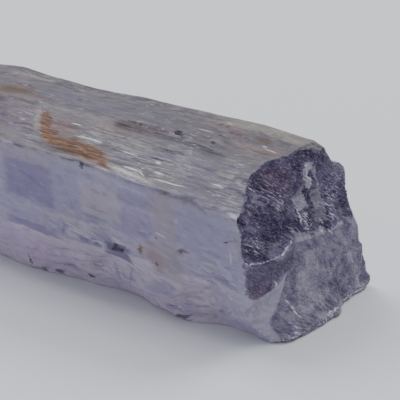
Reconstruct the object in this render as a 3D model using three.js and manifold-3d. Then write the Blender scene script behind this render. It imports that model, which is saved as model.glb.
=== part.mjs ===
// A kunzite crystal (pink to violet spodumene) lying on its flat cleavage face.
// One natural solid: an irregular etched prism whose c-axis runs along X.
// The +X end is a rough break across the prism, with a ledge half way up, an upright rib above it, a lip
// along its foot and a chipped lower corner.
// The -X end is the natural termination, a stepped chisel of three sloping faces.
// Millimetres, +Z up. The origin is the middle of the bounding box on the resting plane.
import * as THREE from 'three';
import { mergeVertices } from 'three/addons/utils/BufferGeometryUtils.js';
import Module from 'manifold-3d';

// ---- driving dimensions ----
const LENGTH = 72; // along the c-axis, from the break to the tip of the chisel
const STATIONS = 50; // rings of the skin along the length
const COLOUR = 0x9f9bb8; // pale greyish violet

// Corners of the cross-section at the break, as [y, z]: up the front, back over the top and down behind.
const FOOT = [0, 0];
const WAIST = [-4.9, 8.2];
const SHOULDER = [-6.2, 17.5];
const LEDGE_FOOT = [0.3, 22.1];
const LEDGE_TOP = [0.9, 22.7];
const CREST = [9.2, 23.2];
const BACK_SLOPE = [12.4, 19.4];
const BACK_BEND = [15.4, 16.4];
const BACK_WAIST = [19.0, 7.0];
const BACK_HEEL = [21.7, 0.9];
const HEEL = [20.9, 0];

const SHOULDER_RISE = 1.8; // how much higher the shoulder runs away from the break
const SHOULDER_RISE_LENGTH = 31; // the stretch over which it climbs
const TAPER = 0.1; // how much smaller the section gets towards the termination
const TAPER_START = 0.66; // share of the length at which the taper starts, from the break
// The uneven front edge of the base, as [x from the break, y off its straight line].
const FOOT_LINE = [
  [0, 0],
  [-5, 0.8],
  [-9, 0.9],
  [-13, -1.1],
  [-18, -0.4],
  [-27, 1.4],
  [-35, 0.7],
  [-44, -0.3],
  [-56, 0.7],
  [-LENGTH, 0],
];

// Each face: its two corners, the columns of laths across it, and how deep its striations are.
const FACES = {
  lower_front: { from: FOOT, to: WAIST, columns: 7, relief: 0.2 },
  front: { from: WAIST, to: SHOULDER, columns: 7, relief: 0.1 },
  bevel: { from: SHOULDER, to: LEDGE_FOOT, columns: 12, relief: 0.15 },
  ledge: { from: LEDGE_FOOT, to: LEDGE_TOP, columns: 1, relief: 0.1 },
  top: { from: LEDGE_TOP, to: CREST, columns: 11, relief: 0.1 },
  back_slope: { from: CREST, to: BACK_SLOPE, columns: 4, relief: 0.2 },
  back_bevel: { from: BACK_SLOPE, to: BACK_BEND, columns: 4, relief: 0.25 },
  back: { from: BACK_BEND, to: BACK_WAIST, columns: 9, relief: 0.24 },
  lower_back: { from: BACK_WAIST, to: BACK_HEEL, columns: 7, relief: 0.26 },
  heel: { from: BACK_HEEL, to: HEEL, columns: 2, relief: 0.05 },
  base: { from: HEEL, to: FOOT, columns: 12, relief: 0 },
};
// The four sides of the section that the two end faces are stretched between.
const SIDES = {
  front: ['lower_front', 'front', 'bevel'],
  top: ['ledge', 'top'],
  back: ['back_slope', 'back_bevel', 'back', 'lower_back', 'heel'],
  base: ['base'],
};

const RUN_SHORTEST = 5; // a lath keeps its height for at least this length
const RUN_SPREAD = 13; // and for up to this much more
const RUN_STEP = 3.2; // length of the slope where its height changes
const WANDER = 0.28; // slow swelling of the faces, at most
const WANDER_CELL = 9;

// Hollows and swellings of the skin: place [x from the break, y, z], radius, depth (negative swells out).
const SCOOPS = [
  { at: [-5.5, 1.5, 22.4], radius: 5.2, depth: 0.7 }, // smooth shell-shaped scoop in front of the crest
  { at: [-38, -2.5, 21.2], radius: 6, depth: 0.35 },
  { at: [-15.5, -1.5, 1.6], radius: 3.2, depth: -0.7 }, // swelling low on the front
  { at: [-8.5, -3.0, 4.5], radius: 3.6, depth: 0.45 },
  { at: [-26, -4.2, 6.5], radius: 5, depth: 0.4 },
  { at: [-30, 17.8, 10], radius: 7, depth: 0.8 },
  { at: [-52, 14, 17], radius: 6, depth: 0.7 },
  { at: [-55, -3.5, 6], radius: 6, depth: 0.6 },
  { at: [-37, 8, 23.2], radius: 6.5, depth: 0.45 },
  { at: [-56, 9, 22.8], radius: 6.4, depth: -0.9 },
  { at: [-58, 5, 22.5], radius: 5, depth: 0.4 },
  { at: [-0.8, 14.4, 17.8], radius: 2.6, depth: -1.1 }, // knob behind the upper back corner of the break
];

// Etch pits: face, place across it (0 to 1), x from the break, sides, length along X, width, depth
// and skew of the outline.
const PITS = [
  { face: 'front', across: 0.06, x: -19.6, sides: 4, length: 2.7, width: 1.7, depth: 0.9, skew: -0.5 },
  { face: 'front', across: 0.03, x: -22.9, sides: 5, length: 1.6, width: 0.9, depth: 0.5, skew: 0.4 },
  { face: 'lower_front', across: 0.62, x: -21.4, sides: 6, length: 0.9, width: 1.7, depth: 0.5, skew: 0.3 },
  { face: 'lower_front', across: 0.3, x: -30.6, sides: 5, length: 2.4, width: 0.9, depth: 0.6, skew: -0.5 },
  { face: 'lower_front', across: 0.2, x: -13, sides: 6, length: 2.0, width: 0.9, depth: 0.6, skew: 0.5 },
  { face: 'lower_front', across: 0.33, x: -6, sides: 5, length: 1.5, width: 0.9, depth: 0.6, skew: -0.3 },
  { face: 'front', across: 0.4, x: -14.8, sides: 5, length: 0.9, width: 0.7, depth: 0.4, skew: 0.3 },
  { face: 'front', across: 0.3, x: -9.5, sides: 6, length: 0.8, width: 0.6, depth: 0.4, skew: -0.3 },
  { face: 'top', across: 0.1, x: -15.2, sides: 5, length: 1.5, width: 0.8, depth: 0.45, skew: 0.4 },
  { face: 'top', across: 0.16, x: -10.2, sides: 6, length: 1.2, width: 0.7, depth: 0.4, skew: -0.4 },
  { face: 'top', across: 0.07, x: -21.8, sides: 7, length: 3.2, width: 0.7, depth: 0.2, skew: 0.5 },
  { face: 'top', across: 0.3, x: -6.8, sides: 6, length: 2.0, width: 0.9, depth: 0.3, skew: 0.4 },
  { face: 'top', across: 0.45, x: -33, sides: 5, length: 2.4, width: 0.8, depth: 0.35, skew: -0.5 },
  { face: 'back', across: 0.35, x: -14, sides: 4, length: 2.2, width: 1.3, depth: 0.7, skew: 0.4 },
  { face: 'back', across: 0.6, x: -40, sides: 5, length: 1.8, width: 1.1, depth: 0.6, skew: -0.5 },
  { face: 'front', across: 0.5, x: -56, sides: 4, length: 1.9, width: 1.0, depth: 0.6, skew: 0.5 },
];

// The break, in section coordinates.
const BREAK_HOLLOW = { y: -2, z: 20.8, radius: 6.6, depth: 1.9 }; // upper front corner, set back
const BREAK_LEDGE = { height: 11.5, slope: 0.05, rise: 0.9, out: 0.9 }; // the lower half stands out below it
const BREAK_TOE = { from: 0, to: 14.2, height: 4, out: 1.6 }; // lip along the bottom edge
const BREAK_RIB = { y: 7, half_width: 2.6, foot: 12, top: 21.5, out: 0.8 }; // upright rib above the ledge
// The broken lower front corner: it is hollow in front of its inner edge and below its upper edge.
const CHIP = { inner_slope: 0.3, height: 5.9, height_slope: 0.27, depth_slope: 0.9 };
const HACKLE = 0.3; // roughness of the break
const HACKLE_CELL = 1.7;

// The termination: sloping planes through [x beyond LENGTH, slope along y, slope along z], cut by steps.
const CHISEL = [
  { rise: 0.0, y: 0.1, z: 0.62 },
  { rise: 2.4, y: -0.15, z: -0.85 },
  { rise: 3.2, y: -0.95, z: 0.15 },
];
const CHISEL_CENTRE = [7, 9];
const CHISEL_STEP = 2.3; // distance between its growth ledges
const CHISEL_STEP_SHARE = 0.75; // how much of each ledge is a flat tread

// ---- repeatable noise ----
// A number from 0 to 1 that depends only on its whole-number arguments.
function chance(...keys) {
  let h = 2166136261;
  for (const key of keys) {
    h = Math.imul(h ^ (key & 0xffff), 16777619);
    h = Math.imul(h ^ (h >>> 15), 2246822519);
    h ^= h >>> 13;
  }
  return (h >>> 0) / 4294967296;
}
const signed = (...keys) => 2 * chance(...keys) - 1;
const lerp = (a, b, t) => a + (b - a) * t;
const ease = (t) => {
  const c = Math.min(1, Math.max(0, t));
  return c * c * (3 - 2 * c);
};

// Smooth noise from -1 to 1 over a plane, with one random value at each corner of a grid.
function noise(seed, a, b) {
  const [i, j] = [Math.floor(a), Math.floor(b)];
  const [s, t] = [ease(a - i), ease(b - j)];
  const low = lerp(signed(seed, i, j), signed(seed, i + 1, j), s);
  const high = lerp(signed(seed, i, j + 1), signed(seed, i + 1, j + 1), s);
  return lerp(low, high, t);
}

// ---- the section ----
// How far the front edge of the base is off its straight line at x from the break.
function footLine(x) {
  const next = Math.max(1, FOOT_LINE.findIndex(([place]) => place <= x));
  const [[x0, y0], [x1, y1]] = FOOT_LINE.slice(next - 1, next + 1);
  return lerp(y0, y1, ease((x - x0) / (x1 - x0)));
}

// A section corner at x from the break: the shoulder climbs, the edges of the base are uneven,
// and the whole section shrinks towards the termination.
function cornerAt(corner, x) {
  const climb = corner === SHOULDER ? SHOULDER_RISE * Math.min(1, -x / SHOULDER_RISE_LENGTH) : 0;
  const bends = new Map([
    [FOOT, footLine(x)],
    [HEEL, 0.8 * noise(5, x / 7, 0) * ease(-x / 6)],
  ]);
  const shrink = 1 - TAPER * ease((-x / LENGTH - TAPER_START) / (1 - TAPER_START));
  const middle = HEEL[0] / 2;
  const y = corner[0] + (bends.get(corner) ?? 0);
  return [middle + (y - middle) * shrink, (corner[1] + climb) * shrink];
}

// A point of a face without its striations, and the direction that points out of the face.
function faceAt(name, across, x) {
  const { from, to } = FACES[name];
  const [a, b] = [cornerAt(from, x), cornerAt(to, x)];
  const along = new THREE.Vector2(b[0] - a[0], b[1] - a[1]).normalize();
  return {
    y: lerp(a[0], b[0], across),
    z: lerp(a[1], b[1], across),
    out: new THREE.Vector2(-along.y, along.x),
  };
}

// The height of one lath at x: constant over a run, with a short riser to the next.
function lathHeight(column, x) {
  const run = RUN_SHORTEST + RUN_SPREAD * chance(column, 11);
  const place = x / run + 8 * chance(column, 12) + 64;
  const i = Math.floor(place);
  const riser = ease(((place - i) * run) / RUN_STEP);
  return lerp(signed(column, i - 1, 13), signed(column, i, 13), riser);
}

// How far the hollows and swellings move a point along its outward direction.
function scooped(x, y, z) {
  return SCOOPS.reduce((sum, { at, radius, depth }) => {
    const far = Math.hypot((x - at[0]) / 1.5, y - at[1], z - at[2]) / radius;
    return sum - depth * ease(1 - far);
  }, 0);
}

// ---- the two ends ----
function hackle(seed, y, z) {
  const coarse = noise(seed, y / HACKLE_CELL, z / HACKLE_CELL);
  const fine = noise(seed + 1, (2.3 * y) / HACKLE_CELL, (2.3 * z) / HACKLE_CELL);
  return HACKLE * (coarse + 0.5 * fine);
}

// x of the break over the section.
function breakAt(y, z) {
  const { radius, depth } = BREAK_HOLLOW;
  const hollow = depth * ease(1 - Math.hypot(y - BREAK_HOLLOW.y, z - BREAK_HOLLOW.z) / radius);
  const edge = BREAK_LEDGE.height + BREAK_LEDGE.slope * y;
  const inside = ease((y + 5) / 6) * ease((19 - y) / 6);
  const ledge = BREAK_LEDGE.out * (ease((edge - z) / BREAK_LEDGE.rise + 1) - 0.5) * inside;
  const along_toe = ease((y - BREAK_TOE.from) / 2) * ease((BREAK_TOE.to - y) / 1.5);
  const toe = BREAK_TOE.out * along_toe * ease(1 - z / BREAK_TOE.height);
  const up_rib = ease((z - BREAK_RIB.foot) / 2) * ease((BREAK_RIB.top - z) / 2);
  const rib = BREAK_RIB.out * up_rib * ease(1 - Math.abs(y - BREAK_RIB.y) / BREAK_RIB.half_width);
  const in_front = CHIP.inner_slope * z - y;
  const below = CHIP.height + CHIP.height_slope * (y - WAIST[0]) - z;
  const chip = CHIP.depth_slope * Math.max(0, Math.min(in_front, below));
  return ledge + toe + rib - hollow - chip + hackle(31, y, z);
}

// x of the termination: the nearest of the sloping planes, broken into growth ledges.
function tipAt(y, z) {
  const planes = CHISEL.map(
    (p) => p.rise + p.y * (y - CHISEL_CENTRE[0]) + p.z * (z - CHISEL_CENTRE[1]),
  );
  const height = Math.max(0, ...planes) / CHISEL_STEP;
  const tread = Math.floor(height);
  const stepped = tread + ease((height - tread - CHISEL_STEP_SHARE) / (1 - CHISEL_STEP_SHARE));
  return -LENGTH + CHISEL_STEP * lerp(height, stepped, 0.7) + 0.5 * hackle(57, y, z);
}

// ---- the skin ----
// Columns in order round the section: each face's corner, then its laths at uneven places.
const columns = Object.values(SIDES)
  .flat()
  .flatMap((face, k) =>
    Array.from({ length: FACES[face].columns }, (_, i) => ({
      face,
      corner: i === 0,
      across: (i + (i ? 0.36 * signed(k, i, 3) : 0)) / FACES[face].columns,
    })),
  );

// The point of a column at a share of the length, 0 at the termination and 1 at the break.
function skinPoint(index, share) {
  const { face, corner, across } = columns[index];
  const x = (share - 1) * LENGTH;
  const { y, z, out } = faceAt(face, across, x);
  const before = columns[(index + columns.length - 1) % columns.length].face;
  if (corner) out.add(faceAt(before, 1, x).out).normalize();
  const depth = corner ? Math.min(FACES[face].relief, FACES[before].relief) : FACES[face].relief;
  const flat = face === 'base' || before === 'base';
  const swell = WANDER * noise(7, x / WANDER_CELL, index / 6);
  const relief = flat ? 0 : depth * lathHeight(index, x) + swell + scooped(x, y, z);
  const at = [y + out.x * relief, Math.max(0, z + out.y * relief)];
  return new THREE.Vector3(lerp(tipAt(...at), breakAt(...at), share), ...at);
}

const points = [];
const triangles = [];
const addPoint = (p) => points.push(p) - 1;
const addQuad = (a, b, c, d) => triangles.push(a, b, c, a, c, d);

const rings = Array.from({ length: STATIONS + 1 }, (_, s) =>
  columns.map((_, c) => addPoint(skinPoint(c, s / STATIONS))),
);
rings.slice(1).forEach((ring, s) =>
  ring.forEach((here, c) => {
    const next = (c + 1) % columns.length;
    addQuad(rings[s][c], here, ring[next], rings[s][next]);
  }),
);

// An end face: a grid stretched between the four sides of its ring, with x from the end's own surface.
function addEnd(ring, surface, faces_plus_x) {
  const count = (side) => SIDES[side].reduce((sum, face) => sum + FACES[face].columns, 0);
  const [up, over] = [count('front'), count('top')];
  const at = (k) => ring[k % ring.length];
  const front = (j) => at(j);
  const top = (i) => at(up + i);
  const back = (j) => at(2 * up + over - j);
  const base = (i) => at(2 * up + 2 * over - i);
  const [low_front, low_back] = [points[base(0)], points[base(over)]];
  const [high_front, high_back] = [points[top(0)], points[top(over)]];
  const inside = (i, j) => {
    const [u, v] = [i / over, j / up];
    const mix = (axis) =>
      lerp(points[front(j)][axis], points[back(j)][axis], u) +
      lerp(points[base(i)][axis], points[top(i)][axis], v) -
      lerp(
        lerp(low_front[axis], low_back[axis], u),
        lerp(high_front[axis], high_back[axis], u),
        v,
      );
    const [y, z] = [mix('y'), mix('z')];
    return addPoint(new THREE.Vector3(surface(y, z), y, z));
  };
  const grid = Array.from({ length: over + 1 }, (_, i) =>
    Array.from({ length: up + 1 }, (_, j) => {
      if (i === 0) return front(j);
      if (i === over) return back(j);
      if (j === 0) return base(i);
      return j === up ? top(i) : inside(i, j);
    }),
  );
  for (let i = 0; i < over; i++)
    for (let j = 0; j < up; j++) {
      const quad = [grid[i][j], grid[i + 1][j], grid[i + 1][j + 1], grid[i][j + 1]];
      addQuad(...(faces_plus_x ? quad : quad.reverse()));
    }
}
addEnd(rings[STATIONS], breakAt, true);
addEnd(rings[0], tipAt, false);

// ---- solids ----
const wasm = await Module();
wasm.setup();

function solidOf(geometry) {
  const bare = geometry.clone();
  bare.deleteAttribute('normal');
  bare.deleteAttribute('uv');
  const merged = mergeVertices(bare, 1e-4);
  return new wasm.Manifold(
    new wasm.Mesh({
      numProp: 3,
      vertProperties: merged.attributes.position.array,
      triVerts: new Uint32Array(merged.index.array),
    }),
  );
}

// An etch pit's cutter: a funnel with flat sides and a skewed outline, its wide mouth just outside the face.
function pitCutter({ face, across, x, sides, length, width, depth, skew }) {
  const mouth = 0.8;
  const funnel = new THREE.CylinderGeometry(mouth, mouth * 0.4, 2 * depth, sides);
  funnel.rotateY(Math.PI / sides);
  const { y, z, out } = faceAt(face, across, x);
  const normal = new THREE.Vector3(0, out.x, out.y);
  const axis = new THREE.Vector3(1, 0, 0);
  const side = new THREE.Vector3().crossVectors(axis, normal);
  const skewed = side.clone().multiplyScalar(width).addScaledVector(axis, skew * width);
  const place = new THREE.Matrix4().makeBasis(axis.clone().multiplyScalar(length), normal, skewed);
  place.setPosition(x, y, z);
  return solidOf(funnel.applyMatrix4(place));
}

const skin = new THREE.BufferGeometry();
skin.setAttribute(
  'position',
  new THREE.Float32BufferAttribute(points.flatMap((p) => p.toArray()), 3),
);
skin.setIndex(triangles);
const crystal = PITS.reduce((solid, pit) => solid.subtract(pitCutter(pit)), solidOf(skin));

// ---- the part ----
const cut = crystal.getMesh();
const geometry = new THREE.BufferGeometry();
geometry.setAttribute('position', new THREE.BufferAttribute(cut.vertProperties, 3));
geometry.setIndex(new THREE.BufferAttribute(cut.triVerts, 1));
geometry.computeBoundingBox();
const { min, max } = geometry.boundingBox;
geometry.translate(-(min.x + max.x) / 2, -(min.y + max.y) / 2, -min.z);
geometry.computeVertexNormals();

const kunzite = new THREE.MeshStandardMaterial({ color: COLOUR, roughness: 0.4, metalness: 0 });
const mesh = new THREE.Mesh(geometry, kunzite);
mesh.name = 'crystal';

const group = new THREE.Group();
group.add(mesh);
export default group;
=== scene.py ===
"""The finish of a kunzite crystal that lies on its flat cleavage face.

It has the relief of the skin and the break, the colour zones and the stains. Places on the
crystal are given in millimetres as (x, y, z) from the foot of the break, the lower front corner of
the broken +X end: x is negative into the crystal, y grows to the back and z up.
"""

import math

import bmesh
import bpy
from mathutils import Matrix, Vector, kdtree, noise


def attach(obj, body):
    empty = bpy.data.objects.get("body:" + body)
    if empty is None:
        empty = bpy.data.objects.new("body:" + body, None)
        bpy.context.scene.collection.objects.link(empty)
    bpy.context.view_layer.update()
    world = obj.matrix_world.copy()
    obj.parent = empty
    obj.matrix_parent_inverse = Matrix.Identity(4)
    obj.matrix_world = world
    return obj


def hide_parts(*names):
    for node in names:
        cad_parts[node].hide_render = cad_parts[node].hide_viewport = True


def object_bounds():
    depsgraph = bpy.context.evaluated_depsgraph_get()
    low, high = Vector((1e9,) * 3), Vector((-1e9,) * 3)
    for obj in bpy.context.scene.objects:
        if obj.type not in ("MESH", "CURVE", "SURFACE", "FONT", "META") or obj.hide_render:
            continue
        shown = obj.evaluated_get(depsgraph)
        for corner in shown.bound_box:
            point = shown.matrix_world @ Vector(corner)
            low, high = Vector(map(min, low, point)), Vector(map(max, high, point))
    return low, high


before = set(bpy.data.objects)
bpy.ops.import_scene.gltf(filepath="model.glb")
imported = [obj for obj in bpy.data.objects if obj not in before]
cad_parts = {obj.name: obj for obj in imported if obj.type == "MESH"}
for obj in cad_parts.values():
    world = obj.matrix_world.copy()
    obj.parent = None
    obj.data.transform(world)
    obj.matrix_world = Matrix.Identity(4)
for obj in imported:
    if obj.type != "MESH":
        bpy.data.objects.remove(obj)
cad_low, cad_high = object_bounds()

MM = 0.001
FOOT = Vector((cad_high.x - 2.22 * MM, cad_low.y + 6.42 * MM, 0))

# ---- camera, floor and light ----
VIEW_AZIMUTH = math.radians(38)
VIEW_ELEVATION = math.radians(21)
VIEW_DISTANCE = 246 * MM
VIEW_AIM = (-10.4, -0.33, 16.0)
LENS = 184.5
NEAREST_SEEN, FARTHEST_SEEN = 0.01, 10

LIT_PLACE = (-25, 8, 10)  # what the lights look at
ROOM_TINT = (0.93, 0.96, 1.0, 1)
ROOM_STRENGTH = 0.68

FLOOR_SIZE = 4.0
FLOOR_GAP = 0.05 * MM
FLOOR_TINT = (0.68, 0.69, 0.73, 1)
FLOOR_ROUGHNESS = 0.7


def placed(place):
    """A point given from the foot of the break, in the frame's metres."""
    return FOOT + Vector(place) * MM


def direction(azimuth, elevation):
    """The unit vector towards that azimuth and elevation; azimuth 0 is the front."""
    across = math.cos(elevation)
    return Vector((math.sin(azimuth) * across, -math.cos(azimuth) * across, math.sin(elevation)))


def add_object(name, data):
    made = bpy.data.objects.new(name, data)
    bpy.context.scene.collection.objects.link(made)
    return made


def add_camera():
    camera = add_object("camera", bpy.data.cameras.new("camera"))
    back = direction(VIEW_AZIMUTH, VIEW_ELEVATION)
    camera.location = placed(VIEW_AIM) + back * VIEW_DISTANCE
    camera.rotation_euler = (-back).to_track_quat("-Z", "Y").to_euler()
    camera.data.lens = LENS
    camera.data.clip_start, camera.data.clip_end = NEAREST_SEEN, FARTHEST_SEEN
    bpy.context.scene.camera = camera


def add_softbox(name, azimuth, elevation, distance, size, power):
    """A square soft light that looks at the crystal."""
    light = add_object(name, bpy.data.lights.new(name, "AREA"))
    towards = direction(math.radians(azimuth), math.radians(elevation))
    light.location = placed(LIT_PLACE) + towards * distance
    light.rotation_euler = (-towards).to_track_quat("-Z", "Y").to_euler()
    light.data.size = size
    light.data.energy = power


def light_room():
    world = bpy.data.worlds.new("room")
    bpy.context.scene.world = world
    world.use_nodes = True
    room = world.node_tree.nodes["Background"].inputs
    room["Color"].default_value = ROOM_TINT
    room["Strength"].default_value = ROOM_STRENGTH
    add_softbox("window", -85, 58, 0.9, 0.5, 4.0)
    add_softbox("ceiling", 165, 50, 1.5, 0.8, 12.0)


# ---- node helpers ----
class Value:
    """A number that may change over the surface; its arithmetic adds Math nodes to the finish."""

    def __init__(self, finish, socket):
        self.finish = finish
        self.socket = socket

    def math(self, operation, *terms):
        made = self.finish.node("ShaderNodeMath", {"operation": operation}, dict(enumerate(terms)))
        return Value(self.finish, made.outputs[0])

    def __add__(self, other):
        return self.math("ADD", self, other)

    def __sub__(self, other):
        return self.math("SUBTRACT", self, other)

    def __rsub__(self, other):
        return self.math("SUBTRACT", other, self)

    def __mul__(self, other):
        return self.math("MULTIPLY", self, other)

    __radd__ = __add__
    __rmul__ = __mul__

    def to(self, power):
        return self.math("POWER", self, power)

    def top(self, other):
        return self.math("MAXIMUM", self, other)

    def ease(self, low, high):
        """0 below low and 1 above high, smooth between; low above high turns it round."""
        ends = {"From Min": low, "From Max": high}
        ranged = {"interpolation_type": "SMOOTHSTEP"}
        made = self.finish.node("ShaderNodeMapRange", ranged, {"Value": self, **ends})
        return Value(self.finish, made.outputs["Result"])


class Finish:
    """A material whose nodes are added one after another."""

    def __init__(self, name):
        self.material = bpy.data.materials.new(name)
        self.material.use_nodes = True
        self.tree = self.material.node_tree
        self.tree.nodes.clear()

    def node(self, kind, settings=None, inputs=None):
        """Adds a node, with its settings made first and its sockets set or linked after."""
        made = self.tree.nodes.new(kind)
        for name, setting in (settings or {}).items():
            setattr(made, name, setting)
        for name, given in (inputs or {}).items():
            given = getattr(given, "socket", given)
            if isinstance(given, bpy.types.NodeSocket):
                self.tree.links.new(given, made.inputs[name])
            else:
                made.inputs[name].default_value = given
        return made

    def attribute(self, name):
        made = self.node("ShaderNodeAttribute", {"attribute_name": name})
        return Value(self, made.outputs["Fac"])

    def vector(self, operation, *terms):
        made = self.node("ShaderNodeVectorMath", {"operation": operation}, dict(enumerate(terms)))
        return made.outputs["Vector"]

    def number(self, operation, *terms):
        made = self.node("ShaderNodeVectorMath", {"operation": operation}, dict(enumerate(terms)))
        return Value(self, made.outputs["Value"])

    def crystal_place(self):
        """The place on the crystal in millimetres from the foot of the break."""
        where = self.node("ShaderNodeTexCoord").outputs["Object"]
        return self.vector("DIVIDE", self.vector("SUBTRACT", where, tuple(FOOT)), (MM, MM, MM))

    def parts(self, vector):
        split = self.node("ShaderNodeSeparateXYZ", {}, {0: vector})
        return [Value(self, split.outputs[axis]) for axis in "XYZ"]

    def flat_place(self, first, second):
        return self.node("ShaderNodeCombineXYZ", {}, {"X": first, "Y": second}).outputs[0]

    def skin_place(self, place):
        """The place on the long faces, along the crystal and round it."""
        x, y, z = self.parts(place)
        turn = x.math("ARCTAN2", y - CORE[0], z - CORE[1])
        return self.flat_place(x, turn * GIRTH)

    def noise(self, where, grain, detail=2.0, roughness=0.5):
        """Noise about 0.5, with grain the size of its features along X, Y and Z."""
        near = self.vector("DIVIDE", where, grain)
        inputs = {"Vector": near, "Scale": 1.0, "Detail": detail, "Roughness": roughness}
        return Value(self, self.node("ShaderNodeTexNoise", {}, inputs).outputs["Fac"])

    def wavered(self, where, grain, reach):
        """The same places pushed about by noise, up to about a quarter of reach."""
        near = self.vector("DIVIDE", where, grain)
        inputs = {"Vector": near, "Scale": 1.0, "Detail": 2.0}
        push = self.node("ShaderNodeTexNoise", {}, inputs).outputs["Color"]
        push = self.vector("MULTIPLY", self.vector("SUBTRACT", push, (0.5, 0.5, 0.5)), reach)
        return self.vector("ADD", where, push)

    def cells(self, where, grain):
        """Angular flat patches, each with its own value from 0 to 1."""
        near = self.vector("DIVIDE", where, grain)
        inputs = {"Vector": near, "Scale": 1.0, "Randomness": 0.85}
        made = self.node("ShaderNodeTexVoronoi", {"distance": "CHEBYCHEV"}, inputs)
        return self.parts(made.outputs["Color"])[0]

    def spots(self, where, places, soft=0.3, square=False):
        """1 in rounded or squarish spots, 0 off them.

        Each is (first, second, half length, half width, tilt in degrees).
        """
        nearest = None
        for first, second, length, width, tilt in places:
            off = self.vector("SUBTRACT", where, (first, second, 0))
            cos, sin = math.cos(math.radians(tilt)), math.sin(math.radians(tilt))
            along = self.number("DOT_PRODUCT", off, (cos / length, sin / length, 0))
            across = self.number("DOT_PRODUCT", off, (-sin / width, cos / width, 0))
            if square:
                away = along.math("ABSOLUTE", along).top(across.math("ABSOLUTE", across))
            else:
                away = (along * along + across * across).to(0.5)
            nearest = away.math("MINIMUM", nearest, away) if nearest else away
        return nearest.ease(1 + soft, 1 - soft)

    def zoned(self, where, zones, soft, colour):
        """The colour with squarish zones on it, each a tint, its strength and its places."""
        for tint, strength, places in zones:
            colour = self.mix(self.spots(where, places, soft, True) * strength, colour, tint)
        return colour

    def mix(self, share, under, over):
        """The colour under, with over laid on it by share."""
        inputs = {"Factor": share, 6: under, 7: over}
        return self.node("ShaderNodeMix", {"data_type": "RGBA"}, inputs).outputs[2]


def srgb(red, green, blue):
    """A colour given as 0 to 255 display values, as the linear colour a shader takes."""

    def linear(value):
        share = value / 255
        return share / 12.92 if share <= 0.04045 else ((share + 0.055) / 1.055) ** 2.4

    return (linear(red), linear(green), linear(blue), 1)


# ---- the crystal's shape ----
RESTING_EDGE = 2.0  # the longest edge of the divided mesh on the resting face, in millimetres
BREAK_EDGE = 0.26
SILKY_EDGE = 0.26  # across the striations of the upper faces
SKIN_EDGE = 0.45  # across those of the others
STRETCH = 0.3  # an edge along the length counts for this share
HALVINGS = 9  # how many rounds of halving the mesh gets
WELD = 2e-6  # corners of the solid's triangles nearer than this are one, in metres
RESTING_HEIGHT = 0.01  # what lies lower is on the resting face
BREAK_START = -2.5  # what lies further along X has edges as short as the break's
SILKY_TURN = 0.4  # the least part of its normal that points up on the upper faces
BREAK_TURN = 0.45  # the least part of its normal that points along X on the break
BREAK_BACK = -7.0  # how far back along X the break reaches
SHARP_ANGLE = math.radians(50)

CORE = (7.0, 10.4)  # y and z of the line that places round the crystal are measured from
GIRTH = 13.0  # millimetres round the crystal for each radian
SHOULDER = -13.2  # place of the shoulder round the crystal
SILKY_START = -12.65  # edges of the silky finish round the crystal, far from the break
SILKY_END = 11.0
FAR_PART = -52.0  # along X, past which faces that lean to the far end aren't silky
NEAR_BREAK = (-24.0, 18.0)  # where the shoulder starts to blur along X, and over what length

CHIP_TOP = 6.5  # height of the chip at CHIP_MIDDLE along Y, and how its top bends up beside it
CHIP_MIDDLE = -1.4
CHIP_BEND = 0.12
CHIP_EDGE = 0.25  # the chip's end along Y at the foot, how it leans with height, and its notch
CHIP_LEAN = 0.3
CHIP_NOTCH = 0.9
CHIP_BACK = -8.0  # how far back along X the chip reaches

# Heights of the relief in millimetres: on the upper faces, on the other long faces, on the break.
LATH = 0.02
LONG_FIBRE = 0.009
SHORT_FIBRE = 0.014
CREST_SAG = 0.4

LONG_BLOCK = 0.07
SHORT_BLOCK = 0.05
CHUNK = 0.16
CHUNK_ROUNDING = 0.2
WAVE = 0.06

BREAK_SWELL = 1.1
BREAK_STEP = 0.26
SPLINTER = 0.12
GRAIN = 0.11
TOE = 0.4
TOE_UNDERCUT = 0.35
BROWS = [(10.8, 20.9, 3.4, 0.8), (14.7, 17.2, 3.0, 0.5)]  # y, z, radius and how far it leans out
BROW_DEPTH = 2.5  # how far behind the break a brow starts

SPLINTER_FALL = math.radians(-37)  # slope of the splinters, as they run to the back

RIM_FADE = 0.8  # over what distance from the break the relief of the long faces starts
DEEPEST = 9.0  # the most that the finish is told of a point's distance from the break's edge
# The low band, with the faces that look down, gets a warm milky tint and painted light from the
# floor.
LOW_TOP, LOW_BLEND = 2.2, 1.8  # the height below which a point counts as low, and its blend
CHIP_ROUNDS, HOLLOW_ROUNDS, SHOULDER_ROUNDS, NEAR_SHOULDER_ROUNDS = 16, 24, 10, 20

FILLED = [  # hollows that are smoothed: along X, round the crystal, half length and half width
    (-14.9, -18.5, 1.4, 1.3),
    (-43.2, -6.3, 1.6, 1.3),
    (-30.8, -6.4, 7.0, 1.2),
    (-10.0, -8.1, 4.0, 0.7),
]
LEDGE = [  # y and z along the ledge that crosses the break
    (-5.0, 11.7),
    (-3.8, 11.4),
    (-1.3, 10.9),
    (1.6, 11.1),
    (3.2, 11.7),
    (4.9, 12.1),
    (6.4, 11.8),
    (8.6, 11.2),
    (14.0, 10.9),
    (16.0, 11.2),
]


def ease(share):
    """0 to 1 with a smooth start and end."""
    share = min(1.0, max(0.0, share))
    return share * share * (3 - 2 * share)


def terraced(height, step, riser):
    """The height with its slope cut into flat treads; riser is the climbing share of a step."""
    level = math.floor(height / step)
    return step * (level + ease((height / step - level - 1) / riser + 1))


def from_foot(place):
    return (place - FOOT) / MM


def round_core(y, z):
    """How far round the crystal a point is, in millimetres: 0 on top and growing to the back."""
    return GIRTH * math.atan2(y - CORE[0], z - CORE[1])


def ledge_height(y):
    for (start, low), (end, high) in zip(LEDGE, LEDGE[1:]):
        if y < end:
            return low + (high - low) * max(0, y - start) / (end - start)
    return LEDGE[-1][1]


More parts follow.
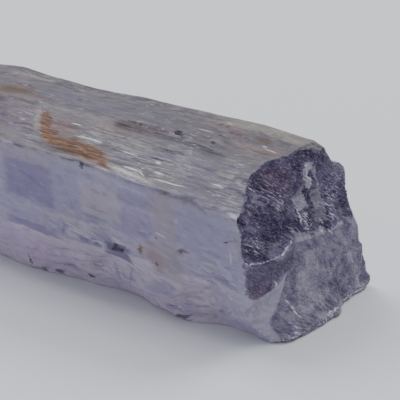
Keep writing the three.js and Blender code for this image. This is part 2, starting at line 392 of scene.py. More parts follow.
def excess(edge):
    """How many times too long an edge is for the relief of the face that it lies on."""
    run = (edge.verts[1].co - edge.verts[0].co) / MM
    start, end = (from_foot(v.co) for v in edge.verts)
    if max(start.z, end.z) < RESTING_HEIGHT:
        return run.length / RESTING_EDGE
    if min(start.x, end.x) > BREAK_START:
        return run.length / BREAK_EDGE
    silky = min(v.normal.z for v in edge.verts) > SILKY_TURN
    return Vector((run.x * STRETCH, run.y, run.z)).length / (SILKY_EDGE if silky else SKIN_EDGE)


def refined_crystal(solid):
    """A finely divided copy of the CAD solid's mesh.

    The longest edges are halved first, one to a triangle, so that the mesh stays closed.
    """
    shape = bmesh.new()
    shape.from_mesh(solid.data)
    bmesh.ops.remove_doubles(shape, verts=shape.verts, dist=WELD)
    for _ in range(HALVINGS):
        shape.normal_update()
        too_long = [(excess(e), e) for e in shape.edges]
        too_long = [found for found in too_long if found[0] > 1]
        too_long.sort(key=lambda found: found[0], reverse=True)
        halved = []
        parted = set()
        for _, edge in too_long:
            if parted.isdisjoint(edge.link_faces):
                parted.update(edge.link_faces)
                halved.append(edge)
        bmesh.ops.subdivide_edges(shape, edges=halved, cuts=1, use_single_edge=True)
    return shape


def chipped_share(vert):
    """1 on the hollow chip at the break's lower front corner."""
    x, y, z = from_foot(vert.co)
    top = CHIP_TOP + CHIP_BEND * (y - CHIP_MIDDLE) ** 2
    edge = CHIP_LEAN * z + CHIP_EDGE - CHIP_NOTCH * ease(1 - abs(z - 2.7) / 2.2)
    return ease((edge - y) / 0.6 + 0.5) * ease((top - z) / 0.5) * ease((x - CHIP_BACK) / 3)


def least_chipped(face):
    return min(chipped_share(vert) for vert in face.verts)


def silky_share(vert):
    """1 on the upper faces, 0 on the front and the far end, with a wider blend near the break."""
    x, y, z = from_foot(vert.co)
    around = round_core(y, z)
    along = ease((vert.normal.x + 0.5) / 0.25) if x < FAR_PART else 1
    if around > 0:
        return ease((SILKY_END - around + 3 * noise.noise((x / 5, 0, 3))) / 8) * along
    start, length = NEAR_BREAK
    near = ease((x - start) / length)
    spread = 0.35 + 1.9 * near
    edge = SILKY_START - 0.75 * near + 0.3 * noise.noise((x / 2.5, 0, 6))
    return ease(0.5 + (around - edge) / (2 * spread)) * along


def crests(where):
    """Long ridges with sharp crests, from -1 in their bottoms to 1 on the crests."""
    return 1 - 4 * abs(noise.noise(where))


def skin_relief(vert):
    """How far the striations and cleavage steps raise a point of the long faces, in millimetres."""
    x, y, z = from_foot(vert.co)
    around = round_core(y, z)
    silk = ease((vert.normal.z - 0.1) / 0.5)
    laths = LATH * noise.cell((x / 4.0, around / 0.5, 1))
    laths += LATH * noise.noise((x / 12, around / 0.9, 1))
    fibres = LONG_FIBRE * crests((x / 6, around / 0.6, 2))
    fibres += SHORT_FIBRE * crests((x / 2.0, around / 0.33, 5))
    sag = CREST_SAG * ease(1 - abs(x + 44) / 18) * ease(1 - abs(around - 2) / 5)
    slant = x + 0.4 * around
    blocks = LONG_BLOCK * noise.cell((slant / 2.6, around / 0.8, 3))
    blocks += SHORT_BLOCK * noise.cell((slant / 1.1, around / 1.7, 4))
    low = ease((-around - 24.5) / 2.0) * ease((around + 34.5) / 1.5)
    chunks = CHUNK * noise.cell((slant / 1.3, around / 0.9, 8))
    chunks += CHUNK_ROUNDING * noise.noise((x / 1.5, around / 1.0, 8))
    waves = WAVE * noise.noise((x / 6, around / 1.2, 4))
    return silk * (laths + fibres) + (1 - silk) * (blocks + chunks * low + waves) - sag


def break_relief(vert):
    """How far the splinters and steps of the break stand out of it along X, in millimetres."""
    _, y, z = from_foot(vert.co)
    along = y * math.cos(SPLINTER_FALL) + z * math.sin(SPLINTER_FALL)
    across = z * math.cos(SPLINTER_FALL) - y * math.sin(SPLINTER_FALL)
    swell = BREAK_SWELL * noise.noise((along / 3.4, across / 1.7, 3))
    steps = terraced(swell, BREAK_STEP, 0.2) - BREAK_STEP / 2
    splinters = SPLINTER * crests((along / 2.2, across / 0.55, 7))
    grain = GRAIN * noise.noise((y / 0.42, z / 0.42, 9))
    above = ease((z - ledge_height(y)) / 0.6)
    toe = TOE * ease(z / 0.3) * ease((1.3 - z) / 0.8) - TOE_UNDERCUT * ease((0.3 - z) / 0.3)
    return steps * (0.4 + 0.6 * above) + splinters * (0.3 + 0.7 * above) + grain + toe


def brow(place, depth):
    """How far the upper back corners of the break lean out of it along X, in millimetres."""
    _, y, z = from_foot(place)
    lean = 0
    for middle, height, radius, most in BROWS:
        lean += most * ease(1 - math.hypot(y - middle, z - height) / radius)
    return lean * ease(1 + depth / BROW_DEPTH)


def on_break(face):
    return face.normal.x > BREAK_TURN and from_foot(face.calc_center_median()).x > BREAK_BACK


def depths_into_break(shape):
    """How far each point is from the edge of the break, in millimetres, below 0 off the break."""
    sides = [[on_break(face) for face in vert.link_faces] for vert in shape.verts]
    rim = [vert.co for vert, broken in zip(shape.verts, sides) if any(broken) and not all(broken)]
    tree = kdtree.KDTree(len(rim))
    for index, place in enumerate(rim):
        tree.insert(place, index)
    tree.balance()
    away = [tree.find(vert.co)[2] / MM for vert in shape.verts]
    return [depth if any(broken) else -depth for depth, broken in zip(away, sides)]


def give_relief(shape, depths):
    """Raises every point off the resting face, and keeps it in the CAD solid's box."""
    raised = []
    for vert, depth in zip(shape.verts, depths):
        if depth < 0:
            rise = vert.normal * skin_relief(vert) * ease(-depth / RIM_FADE)
            rise *= 1 - ease((-vert.normal.z - 0.8) / 0.15)
        else:
            reach = (0.3 + 0.7 * ease(depth)) * (1 - 0.8 * chipped_share(vert))
            rise = Vector((break_relief(vert) * reach, 0, 0))
        rise.x += brow(vert.co, depth)
        raised.append(vert.co + rise * MM)
    for vert, place in zip(shape.verts, raised):
        inside = zip(cad_low, place, cad_high)
        vert.co = [min(high, max(low, at)) for low, at, high in inside]


def soften(shape, verts, rounds):
    axes = {"use_axis_x": True, "use_axis_y": True, "use_axis_z": True}
    for _ in range(rounds):
        bmesh.ops.smooth_vert(shape, verts=verts, factor=0.5, **axes)


def in_hollow(x, around):
    """Whether a place on the long faces is in one of the hollows that are smoothed."""
    for middle, turn, half_length, half_width in FILLED:
        if math.hypot((x - middle) / half_length, (around - turn) / half_width) < 1:
            return True
    return False


def soften_edges(shape):
    """Rounds the chip's edge, the filled hollows, and the shoulder, most of all near the break."""
    chip = []
    shoulder = []
    near_shoulder = []
    filled = []
    for vert in shape.verts:
        x, y, z = from_foot(vert.co)
        around = round_core(y, z)
        off_shoulder = abs(around - SHOULDER)
        if x > BREAK_BACK and z > 0.05 and chipped_share(vert) > 0.5:
            chip.append(vert)
        if in_hollow(x, around):
            filled.append(vert)
        if -45 < x < -0.5 and off_shoulder < 1.0:
            shoulder.append(vert)
        if -14 < x < -1.5 and off_shoulder < 0.5 + 0.12 * (x + 14):
            near_shoulder.append(vert)
    soften(shape, chip, CHIP_ROUNDS)
    soften(shape, filled, HOLLOW_ROUNDS)
    soften(shape, shoulder, SHOULDER_ROUNDS)
    soften(shape, near_shoulder, NEAR_SHOULDER_ROUNDS)


def make_crystal():
    shape = refined_crystal(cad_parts["crystal"])
    depths = depths_into_break(shape)
    marks = {
        "depth_into_break": [max(-DEEPEST, min(DEEPEST, depth)) for depth in depths],
        "chipped": [chipped_share(v) for v in shape.verts],
        "above_ledge": [from_foot(v.co).z - ledge_height(from_foot(v.co).y) for v in shape.verts],
        "facing_up": [v.normal.z for v in shape.verts],
        "silky": [silky_share(v) for v in shape.verts],
        "low": [ease((from_foot(v.co).z - LOW_TOP) / -LOW_BLEND) for v in shape.verts],
    }
    smooth = [not on_break(face) or least_chipped(face) > 0.3 for face in shape.faces]
    soften_edges(shape)
    give_relief(shape, depths)
    mesh = bpy.data.meshes.new("kunzite_crystal")
    shape.to_mesh(mesh)
    shape.free()
    for name, values in marks.items():
        mesh.attributes.new(name, "FLOAT", "POINT").data.foreach_set("value", values)
    mesh.set_sharp_from_angle(angle=SHARP_ANGLE)
    mesh.polygons.foreach_set("use_smooth", smooth)
    crystal = add_object("kunzite_crystal", mesh)
    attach(crystal, "root")
    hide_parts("crystal")
    return crystal


# ---- finishes ----
IOR = 1.66
CLEARNESS = 0.6  # share of the light that enters the clear body
CRUST_SHINE = 0.1
DEPTH_TINT = (0.5, 0.42, 0.74, 1)
DEPTH_DENSITY = 60.0
CLEAR_ROUGHNESS = 0.34
BREAK_ROUGHENING = 0.2
SILKY_ROUGHENING = 0.1
STREAK_RELIEF = 0.014  # in millimetres
FLAKE_RELIEF = 0.02
SLANT = 0.16  # how far the cleavage strokes climb round the crystal for each millimetre along it

VIOLET = srgb(182, 174, 210)
CLEAR_GREY = srgb(194, 187, 205)
DEEP_VIOLET = srgb(146, 130, 180)
PALE_BLUE = srgb(200, 196, 222)
BEIGE = srgb(214, 200, 206)
FAWN = srgb(194, 176, 184)
DULL_FAWN = srgb(168, 156, 140)
TAN = srgb(190, 150, 136)
PALE_PINK = srgb(236, 208, 236)
WARM_MILK_UNDERGLOW = srgb(254, 238, 240)
MILK = srgb(240, 236, 244)
DARK_VIOLET = srgb(96, 82, 126)
FLAW = srgb(102, 90, 130)
SILK_SHADE = srgb(92, 84, 93)
SILK_LIGHT = srgb(126, 119, 124)
SILK_CREAM = srgb(176, 167, 150)
SILK_GREY = srgb(100, 96, 102)
SILK_BLUE = srgb(112, 108, 126)
SILK_VIOLET = srgb(98, 90, 112)
SILK_PINK = srgb(108, 90, 106)
SILK_BROWN = srgb(132, 112, 110)
RUST = srgb(112, 76, 52)
RUST_DARK = srgb(66, 42, 34)
ORANGE = srgb(176, 138, 108)
RED_BROWN = srgb(84, 68, 76)
BROWN = srgb(94, 78, 68)
PIT = srgb(50, 40, 68)
PAINTED_GLINT = srgb(252, 251, 250)
BREAK_DARK = srgb(46, 28, 72)
BREAK_MID = srgb(96, 84, 118)
BREAK_GREY = srgb(144, 138, 154)
BREAK_MILK = srgb(194, 190, 204)
BREAK_PALE_AND_GLINT = srgb(242, 238, 248)
BREAK_RED = srgb(104, 74, 98)
BREAK_OLIVE = srgb(146, 141, 138)

# Marks on the long faces: (along X, round the crystal, half length, half width) in millimetres,
# and tilt in degrees.
BODY_ZONES = [
    (PALE_BLUE, 0.7, [(-41.6, -20.5, 3.8, 8.0, 0)]),
    (DEEP_VIOLET, 0.85, [(-33.3, -16.2, 4.1, 2.6, -3), (-33.6, -22.7, 4.2, 0.7, -2)]),
    (VIOLET, 0.8, [(-27.0, -15.8, 2.2, 2.5, 0), (-5.5, -16.6, 3.6, 2.4, 0)]),
    (DEEP_VIOLET, 0.4, [(-16.0, -17.0, 2.5, 3.0, 0), (-3.5, -22.4, 1.6, 1.0, 0)]),
    (BEIGE, 0.7, [(-21.8, -16.2, 3.1, 1.9, -3)]),
    (BEIGE, 0.5, [(-5.8, -12.9, 1.4, 0.5, 0), (-36.6, -13.3, 5.6, 0.7, 0)]),
    (FAWN, 0.7, [(-11.5, -16.6, 1.6, 3.0, 0)]),
    (DULL_FAWN, 0.5, [(-12.0, -22.2, 2.6, 2.6, 0)]),
    (PALE_PINK, 0.6, [(-36.0, -27.6, 6.2, 3.4, 0), (-15.4, -29.6, 2.4, 1.0, 0)]),
    (TAN, 0.6, [(-14.7, -21.4, 1.3, 0.7, -20), (-13.2, -22.6, 0.5, 1.3, 0)]),
    (FLAW, 0.9, [(-20.0, -23.1, 1.9, 1.5, -8)]),
    (MILK, 0.3, [
        (-24.6, -19.7, 2.7, 0.35, 0),
        (-26.2, -21.2, 2.4, 0.2, -3),
        (-19.4, -13.5, 3.4, 0.16, -6),
    ]),
]
SILK_ZONES = [
    (SILK_PINK, 0.85, [(-39.5, -9.0, 4.3, 2.2, 0), (-31.6, -7.8, 3.0, 1.4, 0)]),
    (SILK_VIOLET, 0.8, [(-5.0, -10.8, 5.6, 3.2, 0), (-8.6, -8.0, 1.5, 1.6, 0)]),
    (SILK_BLUE, 0.7, [
        (-18.8, -10.9, 1.8, 0.6, -3),
        (-13.5, -9.0, 4.4, 1.0, 0),
        (-30.0, -3.0, 9.0, 1.5, 0),
    ]),
    (SILK_GREY, 0.7, [
        (-14.2, -6.6, 2.6, 0.4, -2),
        (-7.6, -6.2, 5.0, 0.9, 0),
        (-21.0, -2.2, 6.0, 2.2, 0),
    ]),
    (SILK_BROWN, 0.7, [
        (-11.6, -0.4, 3.0, 1.2, 0),
        (-5.0, -3.4, 3.6, 1.2, 0),
        (-25.0, -7.0, 2.6, 0.8, 0),
    ]),
    (SILK_CREAM, 0.5, [(-6.6, 1.4, 6.4, 1.3, 0), (-44.6, 0.5, 3.6, 0.4, 0)]),
    (SILK_CREAM, 0.55, [
        (-35.3, -8.6, 1.9, 0.4, -50),
        (-5.7, -9.1, 1.3, 0.35, -8),
        # The next is the pale line along the edge of the shoulder, a painted highlight.
        (-17.0, -12.3, 3.4, 0.25, -5),
    ]),
]
MOTTLED = [
    (-8.6, -2.2, 2.4, 1.4, 0),
    (-2.6, -0.6, 1.2, 0.8, 0),
    (-5.6, 0.4, 2.6, 0.8, 0),
    (-20.6, -6.0, 4.2, 1.1, 0),
    (-38.6, -9.4, 3.6, 1.8, 0),
]
COMBED = [(-21.0, -9.8, 12.0, 2.2, 0), (-3.0, -9.6, 3.0, 2.6, 0)]
FRACTURED = [
    (-25.0, -21.4, 6.4, 2.4, 0),
    (-4.2, -22.0, 3.6, 4.0, 0),
    (-22.0, -28.4, 5.0, 2.0, 0),
    (-10.5, -28.6, 3.0, 1.4, 0),
]
# A pale line along the edge of the shoulder: a painted highlight.
SHOULDER_HIGHLIGHT = [(-17.4, -12.3, 3.0, 0.14, -5)]
RUST_MARKS = [
    (-34.1, -8.6, 2.3, 0.8, -51),
    (-32.1, -10.2, 1.6, 1.0, -25),
    (-30.0, -10.7, 2.5, 0.95, -8),
    (-27.4, -10.9, 2.8, 1.0, -4),
    (-24.6, -11.2, 2.8, 1.0, -5),
    (-21.6, -12.0, 1.5, 0.55, -8),
]
RUST_VEILS = [(-31.0, -9.2, 2.8, 1.7, -10), (-43.0, -4.9, 3.6, 1.3, 0), (-38.4, -4.9, 1.8, 0.4, 0)]
RUST_EDGE = [(-27.8, -11.7, 2.3, 0.22, -3), (-24.6, -11.7, 1.2, 0.15, -5)]
BROWN_MARKS = [
    (-42.4, -4.9, 3.0, 0.7, 0),
    (-5.6, -1.1, 1.5, 0.5, 0),
    (-3.9, -3.9, 1.9, 0.25, -8),
    (-15.9, -21.1, 0.32, 0.75, 0),
    (-8.9, -19.4, 0.8, 0.25, -5),
    (-13.5, -22.7, 0.2, 0.25, 0),
    (-37.9, -31.4, 0.14, 1.1, 0),
]
RED_BROWN_MARKS = [
    (-21.2, -6.1, 3.4, 0.95, 0),
    (-17.8, -5.8, 1.6, 0.5, 0),
    (-12.4, -0.4, 1.2, 0.5, 0),
    (-9.6, -1.4, 1.2, 0.5, 0),
]
# Dark violet lines: painted shade along the foot of the ledge on the top and along the shoulder,
# and dark lines in the body and on the upper faces.
SHADE_AND_DARK_LINES = [
    (-32.5, -15.9, 2.3, 0.15, -18),
    (-22.8, -18.5, 1.8, 0.2, -3),
    (-22.3, -17.3, 1.5, 0.1, -3),
    (-24.9, -22.2, 1.1, 0.3, -10),
    (-28.3, -21.6, 0.2, 1.0, -10),
    (-22.4, -28.7, 0.35, 1.5, 5),
    (-19.5, -27.6, 1.6, 0.15, 70),
    (-24.8, -27.3, 0.7, 0.15, -45),
    (-6.6, -24.8, 2.9, 0.13, 46),
    (-3.5, -21.9, 1.0, 0.4, -10),
    (-1.5, -16.3, 1.3, 0.1, 20),
    (-7.6, -13.2, 1.5, 0.15, -25),
    (-6.2, -13.6, 1.2, 0.12, -25),
    (-14.6, -13.1, 2.4, 0.13, -2),
    (-36.8, -2.3, 2.0, 0.16, 10),
    (-33.5, -1.6, 1.5, 0.12, 20),
    (-30.8, -0.7, 1.0, 0.1, 15),
    (-14.2, -6.7, 2.4, 0.16, -2),
    (-40.2, -9.6, 0.7, 0.4, -40),
    (-37.4, -10.8, 0.8, 0.3, -40),
    (-35.3, -11.9, 0.8, 0.25, -40),
]
# Dark spots: the dark purple of small pits, with painted shade in them and under a small step.
PIT_AND_SHADE_MARKS = [
    (-15.6, -4.7, 0.6, 0.1, 0),
    (-14.2, -5.8, 0.9, 0.14, 0),
    (-13.0, -5.3, 0.3, 0.16, 0),
    (-9.8, -5.8, 0.4, 0.13, 0),
    (-10.7, -2.8, 0.35, 0.16, 0),
    (-36.0, -32.7, 0.5, 0.25, 0),
    (-33.6, -32.8, 0.9, 0.3, 0),
    (-28.4, -32.4, 0.8, 0.18, 0),
    (-12.4, -31.6, 1.0, 0.4, 0),
    (-5.2, -29.9, 0.5, 0.35, 0),
    (-24.1, -12.9, 0.28, 0.35, 0),
    (-13.1, -18.7, 0.16, 0.12, 0),
    (-2.2, -16.6, 0.3, 0.12, 0),
]
# Painted highlights on the long faces: thin white lines where the striations catch the light.
PAINTED_GLINT_MARKS = [
    (-19.4, -9.8, 1.1, 0.08, 0),
    (-17.4, -11.65, 1.2, 0.09, -2),
    (-15.8, -11.9, 0.6, 0.06, -18),
    (-11.6, -12.05, 2.1, 0.07, 1),
    (-26.6, -9.3, 1.8, 0.08, 0),
    (-24.9, -9.4, 0.7, 0.09, 0),
    (-29.9, -7.6, 0.8, 0.08, 0),
    (-15.0, -9.95, 0.4, 0.14, 0),
    (-13.8, -11.25, 0.7, 0.08, -3),
    (-5.5, -10.75, 0.8, 0.08, -4),
    (-13.2, -2.75, 1.0, 0.07, 5),
    (-4.6, -2.4, 0.3, 0.1, 0),
    (-3.4, -2.9, 1.0, 0.05, -10),
    (-31.8, -24.2, 0.9, 0.1, -8),
    (-25.6, -21.5, 1.4, 0.08, -12),
    (-19.6, -20.9, 0.9, 0.1, -14),
    (-12.2, -18.1, 0.8, 0.12, -15),
    (-1.8, -18.4, 0.1, 0.8, 0),
    (-15.4, -29.4, 0.8, 0.2, 0),
]
# Marks on the break: (y, z, half width, half height) in millimetres, and tilt in degrees.
BREAK_ZONES = [
    (BREAK_DARK, 0.65, [
        (0.2, 14.6, 3.2, 2.2, 0),
        (-0.8, 20.5, 0.8, 0.9, 0),
        (5.9, 19.3, 0.7, 0.8, 5),
        (-5.0, 15.6, 0.6, 1.2, 0),
    ]),
    (BREAK_DARK, 0.7, [
        (7.9, 16.0, 0.4, 1.4, 8),
        (7.7, 13.9, 1.4, 0.8, -30),
        (10.3, 22.2, 0.8, 0.5, -40),
    ]),
    (BREAK_DARK, 0.65, [
        (-2.2, 9.6, 2.6, 1.4, 0),
        (-2.0, 7.6, 2.2, 1.3, 0),
        (2.4, 9.5, 2.2, 1.1, 10),
    ]),
    (BREAK_DARK, 0.3, [
        (13.5, 2.6, 2.0, 1.8, 0),
        (5.6, 1.6, 2.0, 1.2, 0),
        (10.8, 1.6, 1.0, 0.8, 0),
        (15.2, 13.4, 0.8, 1.4, 10),
    ]),
    (BREAK_MID, 0.6, [(12.4, 17.4, 1.6, 2.2, 10), (12.6, 14.4, 1.0, 1.4, 10)]),
    (BREAK_RED, 0.5, [
        (2.4, 20.0, 2.0, 1.5, 0),
        (3.8, 18.6, 0.5, 1.6, 5),
        (-2.2, 7.6, 1.2, 0.8, 0),
    ]),
    (BREAK_OLIVE, 0.85, [(8.3, 22.8, 1.8, 0.6, -12)]),
    (BREAK_GREY, 0.7, [(6.0, 17.3, 0.8, 1.0, 5)]),
    (BREAK_GREY, 1.0, [
        (10.0, 15.8, 1.0, 1.3, 10),
        (10.4, 13.6, 0.7, 1.3, 10),
        (9.0, 18.6, 0.45, 1.2, 8),
    ]),
    (BREAK_GREY, 0.35, [
        (4.2, 18.0, 0.45, 1.5, 5),
        (-1.4, 18.9, 0.8, 0.5, 0),
        (-1.9, 17.5, 0.7, 0.7, 0),
        (-3.2, 19.2, 0.4, 0.5, 0),
        (-2.6, 13.6, 2.0, 0.35, -28),
    ]),
    (BREAK_GREY, 0.6, [(14.3, 17.6, 0.9, 1.2, 0), (-1.0, 5.2, 1.4, 0.8, 0)]),
    (BREAK_MILK, 0.8, [
        (6.4, 16.0, 0.85, 0.75, 5),
        (7.9, 20.2, 0.9, 0.45, -5),
        (7.3, 19.0, 0.4, 1.3, 8),
    ]),
    (BREAK_MILK, 0.35, [
        (7.2, 5.0, 2.2, 2.8, 10),
        (7.4, 8.8, 0.9, 0.9, 0),
        (16.7, 5.6, 0.5, 0.9, 0),
        (18.7, 1.8, 0.6, 0.9, 0),
    ]),
    # Painted light on the top of the ledge that crosses the break.
    (BREAK_MILK, 0.5, [
        (6.4, 11.9, 1.6, 0.45, -12),
        (9.6, 11.3, 1.5, 0.4, -10),
        (13.2, 11.0, 1.5, 0.25, 0),
    ]),
]
# Painted highlights on the break: thin pale lines on the splinters, along the top of the ledge and
# along the foot.
BREAK_PAINTED_GLINTS = [
    (5.6, 14.65, 1.2, 0.12, -78),
    (6.4, 13.8, 1.2, 0.1, -48),
    (7.2, 14.1, 1.1, 0.1, -43),
    (10.6, 12.6, 0.8, 0.1, -72),
    (7.6, 18.4, 1.4, 0.12, -82),
    (-4.6, 11.7, 0.5, 0.07, -22),
    (-3.7, 11.3, 0.8, 0.09, -8),
    (-2.3, 11.0, 0.6, 0.07, -14),
    (-0.9, 10.9, 0.7, 0.07, 10),
    (0.4, 11.1, 0.6, 0.12, 8),
    (1.7, 11.1, 0.6, 0.13, 5),
    (2.7, 11.35, 0.5, 0.14, 30),
    (3.7, 11.9, 0.5, 0.12, 42),
    (5.1, 12.8, 0.6, 0.16, -50),
    (10.4, 11.4, 0.35, 0.4, 0),
    (11.8, 10.7, 0.7, 0.1, -40),
    (3.1, 4.4, 0.35, 0.13, -60),
    (3.7, 3.5, 0.4, 0.2, -35),
    (4.1, 2.7, 0.4, 0.17, -55),
    (4.5, 2.1, 0.25, 0.13, -40),
    (3.1, 1.4, 0.6, 0.12, -25),
    (3.0, 0.8, 0.7, 0.12, -25),
    (1.8, 0.5, 0.5, 0.12, 0),
    (10.6, 1.0, 1.1, 0.14, 10),
    (15.7, 0.6, 1.3, 0.16, 0),
    (18.9, 0.4, 1.0, 0.2, 0),
    (12.2, 5.0, 0.5, 0.1, -20),
    (-1.4, 19.6, 0.7, 0.08, -35),
    (1.0, 7.1, 0.8, 0.16, -70),
]
HATCHED = [
    (7.4, 13.6, 2.2, 1.3, 0),
    (2.0, 17.8, 2.4, 1.4, -35),
    (-3.0, 13.4, 2.0, 1.2, 0),
    (12.6, 14.6, 1.8, 2.8, 0),
]


def body_colour(finish, skin, slanted, under):
    """Violet, grey and fawn zones of the body, with faint slanting strokes and blocks."""
    ragged = finish.wavered(skin, (1.2, 0.7, 1), (1.0, 0.9, 0))
    lengthwise = finish.noise(skin, (5, 1.8, 1), 4, 0.6)
    veils = lengthwise * 0.6 + finish.noise(skin, (1.3, 6, 1), 3, 0.6) * 0.4
    colour = finish.mix(veils.ease(0.42, 0.58), CLEAR_GREY, VIOLET)
    clouds = finish.noise(slanted, (1.8, 0.7, 1), 4, 0.65)
    # Painted light: the low band and the faces that look down are laid over with warm milk, partly
    # their tint and partly light from the floor.
    colour = finish.mix(under * (0.45 + clouds.ease(0.35, 0.6) * 0.5), colour, WARM_MILK_UNDERGLOW)
    colour = finish.zoned(ragged, BODY_ZONES, 0.2, colour)
    colour = finish.mix(clouds.ease(0.46, 0.34) * 0.28, colour, DARK_VIOLET)
    colour = finish.mix(clouds.ease(0.54, 0.66) * 0.26, colour, MILK)
    fractured = finish.spots(skin, FRACTURED, 0.5) * 0.9 + 0.1
    blocks = finish.cells(finish.wavered(slanted, (1.5, 0.4, 1), (0.6, 0.4, 0)), (1.5, 0.42, 1))
    colour = finish.mix(blocks.ease(0.72, 0.76) * fractured * 0.32, colour, DARK_VIOLET)
    colour = finish.mix(blocks.ease(0.28, 0.24) * fractured * 0.36, colour, MILK)
    strokes = finish.noise(slanted, (1.5, 0.12, 1), 3, 0.65)
    colour = finish.mix(strokes.ease(0.58, 0.66) * fractured * 0.5, colour, MILK)
    return finish.mix(strokes.ease(0.42, 0.34) * fractured * 0.5, colour, DARK_VIOLET)


def silky_colour(finish, skin, streaks):
    """The upper faces, greyer and finely striated along the length."""
    broad = finish.noise(skin, (7, 0.9, 1), 3, 0.6)
    patchy = finish.noise(skin, (2.0, 1.2, 1), 3, 0.6)
    shade = broad * 0.4 + patchy * 0.6
    colour = finish.mix(shade.ease(0.38, 0.62), SILK_SHADE, SILK_LIGHT)
    ragged = finish.wavered(skin, (1.2, 0.5, 1), (1.6, 1.0, 0))
    colour = finish.zoned(ragged, SILK_ZONES, 0.35, colour)
    mottles = finish.noise(skin, (0.5, 0.4, 1), 3, 0.7) * finish.spots(skin, MOTTLED, 0.4)
    colour = finish.mix(mottles.ease(0.46, 0.58) * 0.6, colour, RED_BROWN)
    combed = finish.spots(skin, COMBED, 0.5) * 0.7 + 0.3
    splints = finish.cells(finish.wavered(skin, (2, 0.3, 1), (0, 0.3, 0)), (1.3, 0.2, 1))
    colour = finish.mix(splints.ease(0.7, 0.75) * combed * 0.16, colour, PIT)
    colour = finish.mix(splints.ease(0.25, 0.2) * combed * 0.18, colour, MILK)
    colour = finish.mix(streaks.ease(0.46, 0.36) * combed * 0.35, colour, PIT)
    colour = finish.mix(streaks.ease(0.56, 0.64) * combed * 0.45, colour, MILK)
    grit = finish.noise(skin, (0.28, 0.2, 1), 2, 0.7)
    return finish.mix(grit.ease(0.52, 0.4) * 0.16, colour, PIT)


def rusty(finish, skin, streaks, colour):
    """Rust that has soaked in from a slanting crack, and how much of it there is."""
    ragged = finish.wavered(skin, (1.6, 0.22, 1), (3.0, 0.6, 0))
    share = finish.spots(ragged, RUST_MARKS, 0.4).top(finish.spots(ragged, RUST_VEILS, 0.6) * 0.5)
    share = share * (0.7 + streaks.ease(0.4, 0.55) * 0.3)
    colour = finish.mix(share, colour, RUST)
    grains = finish.noise(skin, (2.2, 0.24, 1), 3, 0.7)
    colour = finish.mix(share * grains.ease(0.5, 0.58) * 0.7, colour, RUST_DARK)
    colour = finish.mix(share * grains.ease(0.46, 0.38) * 0.6, colour, ORANGE)
    edge = finish.spots(finish.wavered(skin, (1, 1, 1), (0.6, 0.3, 0)), RUST_EDGE, 0.5) * 0.8
    return finish.mix(edge, colour, RUST_DARK), share.top(edge)


def break_colour(finish, place):
    """Dark violet with pale facets and splinters above the ledge, greyer and duller below it."""
    turned = {"Vector": place, "Angle": -SPLINTER_FALL}
    fall = finish.node("ShaderNodeVectorRotate", {"rotation_type": "X_AXIS"}, turned).outputs[0]
    _, y, z = finish.parts(place)
    face = finish.flat_place(y, z)
    ragged = finish.wavered(face, (0.5, 0.5, 1), (0.6, 0.6, 0))
    above = finish.attribute("above_ledge").ease(-0.3, 0.3)
    crisp = above * 0.4 + 0.6
    patches = finish.noise(fall, (9, 1.8, 1.1), 4, 0.65)
    upper = finish.mix(patches.ease(0.36, 0.58), BREAK_DARK, BREAK_MID)
    lower = finish.mix(patches.ease(0.32, 0.68), BREAK_MID, BREAK_GREY)
    colour = finish.mix(above, lower, upper)
    chips = finish.cells(finish.wavered(fall, (1, 0.7, 0.7), (0, 0.5, 0.5)), (9, 1.3, 0.6))
    colour = finish.mix(chips.ease(0.76, 0.82) * crisp * 0.4, colour, BREAK_GREY)
    colour = finish.mix(chips.ease(0.3, 0.2) * crisp * 0.35, colour, BREAK_DARK)
    colour = finish.zoned(ragged, BREAK_ZONES, 0.14, colour)
    grain = finish.noise(fall, (9, 0.4, 0.17), 2, 0.7)
    colour = finish.mix(grain.ease(0.5, 0.38) * crisp * 0.38, colour, BREAK_DARK)
    hatched = finish.spots(ragged, HATCHED, 0.6) * 0.55 + 0.15
    # The splinters are painted dark beside their crests and pale on them: painted shade and painted
    # highlight.
    splinters = finish.noise(fall, (9, 1.3, 0.15), 3, 0.65)
    colour = finish.mix(splinters.ease(0.46, 0.36) * hatched * 0.8, colour, BREAK_DARK)
    # Painted highlights on the break: the splinters' crests, flecks and listed lines, with pale
    # grains along the foot.
    flecks = grain.ease(0.58, 0.66) * crisp * 0.32
    splinters = splinters.ease(0.55, 0.62) * hatched
    break_glints = finish.spots(finish.wavered(face, (0.4, 0.4, 1), (0.4, 0.4, 0)), BREAK_PAINTED_GLINTS, 0.45)
    break_glints = break_glints * (0.15 + grain.ease(0.42, 0.56) * 0.7)
    foot = z.ease(1.3, 0.3) * grain.ease(0.5, 0.62) * 0.6
    return finish.mix(splinters.top(flecks).top(break_glints).top(foot), colour, BREAK_PALE_AND_GLINT)


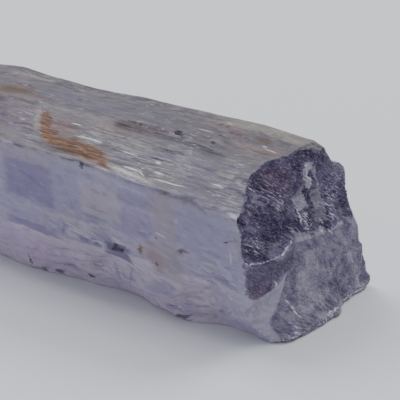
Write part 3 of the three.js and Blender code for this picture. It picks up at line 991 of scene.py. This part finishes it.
def skin_colour(finish, skin, slanted, upper, under, streaks):
    """The long faces with their stains, pits and painted highlights, and how much they are stained.
    """
    silky = silky_colour(finish, skin, streaks)
    colour = finish.mix(upper, body_colour(finish, skin, slanted, under), silky)
    ragged = finish.wavered(skin, (0.8, 0.3, 1), (1.2, 0.4, 0))
    red = finish.spots(ragged, RED_BROWN_MARKS, 0.5) * (0.4 + streaks.ease(0.35, 0.6) * 0.6)
    colour = finish.mix(red, colour, RED_BROWN)
    colour, rust = rusty(finish, skin, streaks, colour)
    # A painted highlight along the edge of the shoulder.
    colour = finish.mix(finish.spots(ragged, SHOULDER_HIGHLIGHT, 0.6) * 0.6, colour, MILK)
    # Dark lines, partly painted shade at the foot of the ledge and along the shoulder.
    colour = finish.mix(finish.spots(ragged, SHADE_AND_DARK_LINES, 0.75) * 0.5, colour, DARK_VIOLET)
    brown = finish.spots(ragged, BROWN_MARKS, 0.5) * 0.85
    colour = finish.mix(brown, colour, BROWN)
    # Dark spots of pits, partly painted shade.
    dark = finish.spots(ragged, PIT_AND_SHADE_MARKS, 0.35) * 0.8
    colour = finish.mix(dark, colour, PIT)
    # Painted highlights: thin white lines, in clusters and more on the upper faces, off the rust,
    # and the listed ones.
    straight = finish.wavered(skin, (2, 1, 1), (0, 0.25, 0))
    crowd = finish.noise(skin, (5, 2.2, 1), 2, 0.5).ease(0.46, 0.6)
    painted_glints = finish.noise(skin, (1.4, 0.1, 1), 2, 0.5).ease(0.62, 0.7) * crowd
    painted_glints = painted_glints * (0.15 + upper * 0.7) * (1 - rust)
    painted_glints = painted_glints.top(finish.spots(straight, PAINTED_GLINT_MARKS, 0.5) * 0.9)
    return finish.mix(painted_glints, colour, PAINTED_GLINT), red.top(rust).top(brown).top(dark)


def kunzite_finish():
    finish = Finish("kunzite")
    place = finish.crystal_place()
    skin = finish.skin_place(place)
    along, around, _ = finish.parts(skin)
    slanted = finish.flat_place(along, around + along * SLANT)
    facing_up = finish.attribute("facing_up")
    blend = finish.noise(skin, (1.8, 0.5, 1), 3, 0.6) * 0.8 - 0.4
    upper = (finish.attribute("silky") + blend).ease(0.3, 0.7)
    crumbs = finish.noise(place, (0.6, 0.6, 0.6), 3, 0.6)
    broken = (finish.attribute("depth_into_break") + crumbs * 1.8 - 0.9).ease(-0.15, 0.15)
    chipped = finish.attribute("chipped")
    # Where light from the floor is painted on: faces that look down and the low band, off the chip.
    under = facing_up.ease(-0.1, -0.4).top(finish.attribute("low")) * (1 - chipped)

    streaks = finish.noise(skin, (4, 0.15, 1), 3, 0.65)
    colour, stained = skin_colour(finish, skin, slanted, upper, under, streaks)
    colour = finish.mix(chipped * (0.2 + crumbs.ease(0.42, 0.6) * 0.6), colour, MILK)
    colour = finish.mix(broken * (1 - chipped), colour, break_colour(finish, place))

    flakes = finish.cells(finish.wavered(skin, (1.6, 0.9, 1), (2.0, 1.4, 0)), (1.7, 0.8, 1))
    relief = streaks * STREAK_RELIEF * (0.4 + upper) + flakes * FLAKE_RELIEF * (1 - upper)
    bump = finish.node("ShaderNodeBump", {}, {"Height": relief, "Distance": MM, "Strength": 1.0})
    roughness = CLEAR_ROUGHNESS + broken * BREAK_ROUGHENING + upper * SILKY_ROUGHENING
    look = {"Base Color": colour, "Roughness": roughness, "Normal": bump.outputs[0], "IOR": IOR}
    clear = finish.node("ShaderNodeBsdfPrincipled", {}, {**look, "Transmission Weight": CLEARNESS})
    crust = finish.node("ShaderNodeBsdfPrincipled", {}, {**look, "Specular IOR Level": CRUST_SHINE})
    share = stained.top(upper * 0.4) * (1 - broken) + broken * (1 - chipped) * 0.6
    shells = {0: share, 1: clear.outputs[0], 2: crust.outputs[0]}
    body = finish.node("ShaderNodeMixShader", {}, shells)
    dyed = {"Color": DEPTH_TINT, "Density": DEPTH_DENSITY}
    depth = finish.node("ShaderNodeVolumeAbsorption", {}, dyed)
    out = finish.node("ShaderNodeOutputMaterial")
    finish.tree.links.new(body.outputs[0], out.inputs["Surface"])
    finish.tree.links.new(depth.outputs[0], out.inputs["Volume"])
    return finish.material


def add_floor():
    shape = bmesh.new()
    bmesh.ops.create_grid(shape, x_segments=1, y_segments=1, size=FLOOR_SIZE / 2)
    mesh = bpy.data.meshes.new("floor")
    shape.to_mesh(mesh)
    shape.free()
    mesh.transform(Matrix.Translation((0, 0, -FLOOR_GAP)))
    floor = add_object("floor", mesh)
    paper = Finish("paper")
    plain = {"Base Color": FLOOR_TINT, "Roughness": FLOOR_ROUGHNESS}
    white = paper.node("ShaderNodeBsdfPrincipled", {}, plain)
    out = paper.node("ShaderNodeOutputMaterial")
    paper.tree.links.new(white.outputs[0], out.inputs["Surface"])
    mesh.materials.append(paper.material)


add_camera()
light_room()
add_floor()
crystal = make_crystal()
crystal.data.materials.append(kunzite_finish())

bpy.context.view_layer.update()
